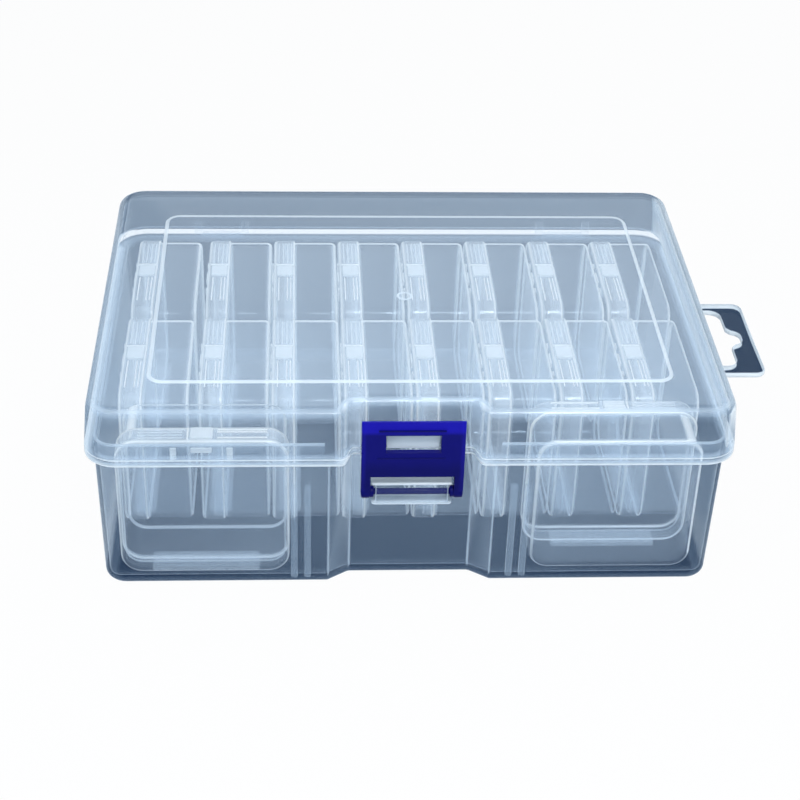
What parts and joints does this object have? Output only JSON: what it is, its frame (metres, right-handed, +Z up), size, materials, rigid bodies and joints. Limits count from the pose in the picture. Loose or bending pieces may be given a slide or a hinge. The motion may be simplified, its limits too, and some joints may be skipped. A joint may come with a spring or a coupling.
{
  "type": "bead organizer case",
  "caption": "Clear hinged case with a front latch and a hang tab, holding small lidded boxes that stand on edge for beads and small craft parts.",
  "frame": {"origin": "centre of the case's underside, midway between the base's walls", "axes": "+X to the right along the front, towards the hang tab; +Y to the back, towards the hinge; +Z up"},
  "size_m": [0.1916, 0.1292, 0.0595],
  "materials": {
    "clear_case": "clear polypropylene, glossy, with milky edges",
    "blue_latch": "opaque dark blue plastic with a soft gloss",
    "clear_cup": "clear thin plastic",
    "clear_small_lid": "clear thin plastic, slightly frosted on its edges"
  },
  "bodies": {
    "case_base": {"case_base": "clear_case"},
    "case_lid": {"case_lid": "clear_case"},
    "latch": {"latch": "blue_latch"},
    "bead_box_01": {"bead_cup_01": "clear_cup", "bead_lid_01": "clear_small_lid"},
    "bead_box_02": {"bead_cup_02": "clear_cup", "bead_lid_02": "clear_small_lid"},
    "bead_box_03": {"bead_cup_03": "clear_cup", "bead_lid_03": "clear_small_lid"},
    "bead_box_04": {"bead_cup_04": "clear_cup", "bead_lid_04": "clear_small_lid"},
    "bead_box_05": {"bead_cup_05": "clear_cup", "bead_lid_05": "clear_small_lid"},
    "bead_box_06": {"bead_cup_06": "clear_cup", "bead_lid_06": "clear_small_lid"},
    "bead_box_07": {"bead_cup_07": "clear_cup", "bead_lid_07": "clear_small_lid"},
    "bead_box_08": {"bead_cup_08": "clear_cup", "bead_lid_08": "clear_small_lid"},
    "bead_box_09": {"bead_cup_09": "clear_cup", "bead_lid_09": "clear_small_lid"},
    "bead_box_10": {"bead_cup_10": "clear_cup", "bead_lid_10": "clear_small_lid"},
    "bead_box_11": {"bead_cup_11": "clear_cup", "bead_lid_11": "clear_small_lid"},
    "bead_box_12": {"bead_cup_12": "clear_cup", "bead_lid_12": "clear_small_lid"},
    "bead_box_13": {"bead_cup_13": "clear_cup", "bead_lid_13": "clear_small_lid"},
    "bead_box_14": {"bead_cup_14": "clear_cup", "bead_lid_14": "clear_small_lid"},
    "bead_box_15": {"bead_cup_15": "clear_cup", "bead_lid_15": "clear_small_lid"},
    "bead_box_16": {"bead_cup_16": "clear_cup", "bead_lid_16": "clear_small_lid"},
    "bead_box_17": {"bead_cup_17": "clear_cup", "bead_lid_17": "clear_small_lid"},
    "bead_box_18": {"bead_cup_18": "clear_cup", "bead_lid_18": "clear_small_lid"}
  },
  "joints": [
    {"name": "lid_hinge", "type": "hinge", "parent": "case_base", "child": "case_lid", "pos_m": [0, 0.06352, 0.043], "axis": [-1, 0, 0], "range_deg": [0, 110]},
    {"name": "latch_hinge", "type": "hinge", "parent": "case_base", "child": "latch", "pos_m": [0, -0.0577, 0.031], "axis": [1, 0, 0], "range_deg": [0, 110]},
    {"name": "box_01_lift", "type": "slide", "parent": "case_base", "child": "bead_box_01", "axis": [0, 0, 1], "range_m": [0, 0.009]},
    {"name": "box_02_lift", "type": "slide", "parent": "case_base", "child": "bead_box_02", "axis": [0, 0, 1], "range_m": [0, 0.009]},
    {"name": "box_03_lift", "type": "slide", "parent": "case_base", "child": "bead_box_03", "axis": [0, 0, 1], "range_m": [0, 0.009]},
    {"name": "box_04_lift", "type": "slide", "parent": "case_base", "child": "bead_box_04", "axis": [0, 0, 1], "range_m": [0, 0.009]},
    {"name": "box_05_lift", "type": "slide", "parent": "case_base", "child": "bead_box_05", "axis": [0, 0, 1], "range_m": [0, 0.009]},
    {"name": "box_06_lift", "type": "slide", "parent": "case_base", "child": "bead_box_06", "axis": [0, 0, 1], "range_m": [0, 0.009]},
    {"name": "box_07_lift", "type": "slide", "parent": "case_base", "child": "bead_box_07", "axis": [0, 0, 1], "range_m": [0, 0.009]},
    {"name": "box_08_lift", "type": "slide", "parent": "case_base", "child": "bead_box_08", "axis": [0, 0, 1], "range_m": [0, 0.009]},
    {"name": "box_09_lift", "type": "slide", "parent": "case_base", "child": "bead_box_09", "axis": [0, 0, 1], "range_m": [0, 0.009]},
    {"name": "box_10_lift", "type": "slide", "parent": "case_base", "child": "bead_box_10", "axis": [0, 0, 1], "range_m": [0, 0.009]},
    {"name": "box_11_lift", "type": "slide", "parent": "case_base", "child": "bead_box_11", "axis": [0, 0, 1], "range_m": [0, 0.009]},
    {"name": "box_12_lift", "type": "slide", "parent": "case_base", "child": "bead_box_12", "axis": [0, 0, 1], "range_m": [0, 0.009]},
    {"name": "box_13_lift", "type": "slide", "parent": "case_base", "child": "bead_box_13", "axis": [0, 0, 1], "range_m": [0, 0.009]},
    {"name": "box_14_lift", "type": "slide", "parent": "case_base", "child": "bead_box_14", "axis": [0, 0, 1], "range_m": [0, 0.009]},
    {"name": "box_15_lift", "type": "slide", "parent": "case_base", "child": "bead_box_15", "axis": [0, 0, 1], "range_m": [0, 0.009]},
    {"name": "box_16_lift", "type": "slide", "parent": "case_base", "child": "bead_box_16", "axis": [0, 0, 1], "range_m": [0, 0.009]},
    {"name": "box_17_lift", "type": "slide", "parent": "case_base", "child": "bead_box_17", "axis": [0, 0, 1], "range_m": [0, 0.009]},
    {"name": "box_18_lift", "type": "slide", "parent": "case_base", "child": "bead_box_18", "axis": [0, 0, 1], "range_m": [0, 0.009]}
  ]
}
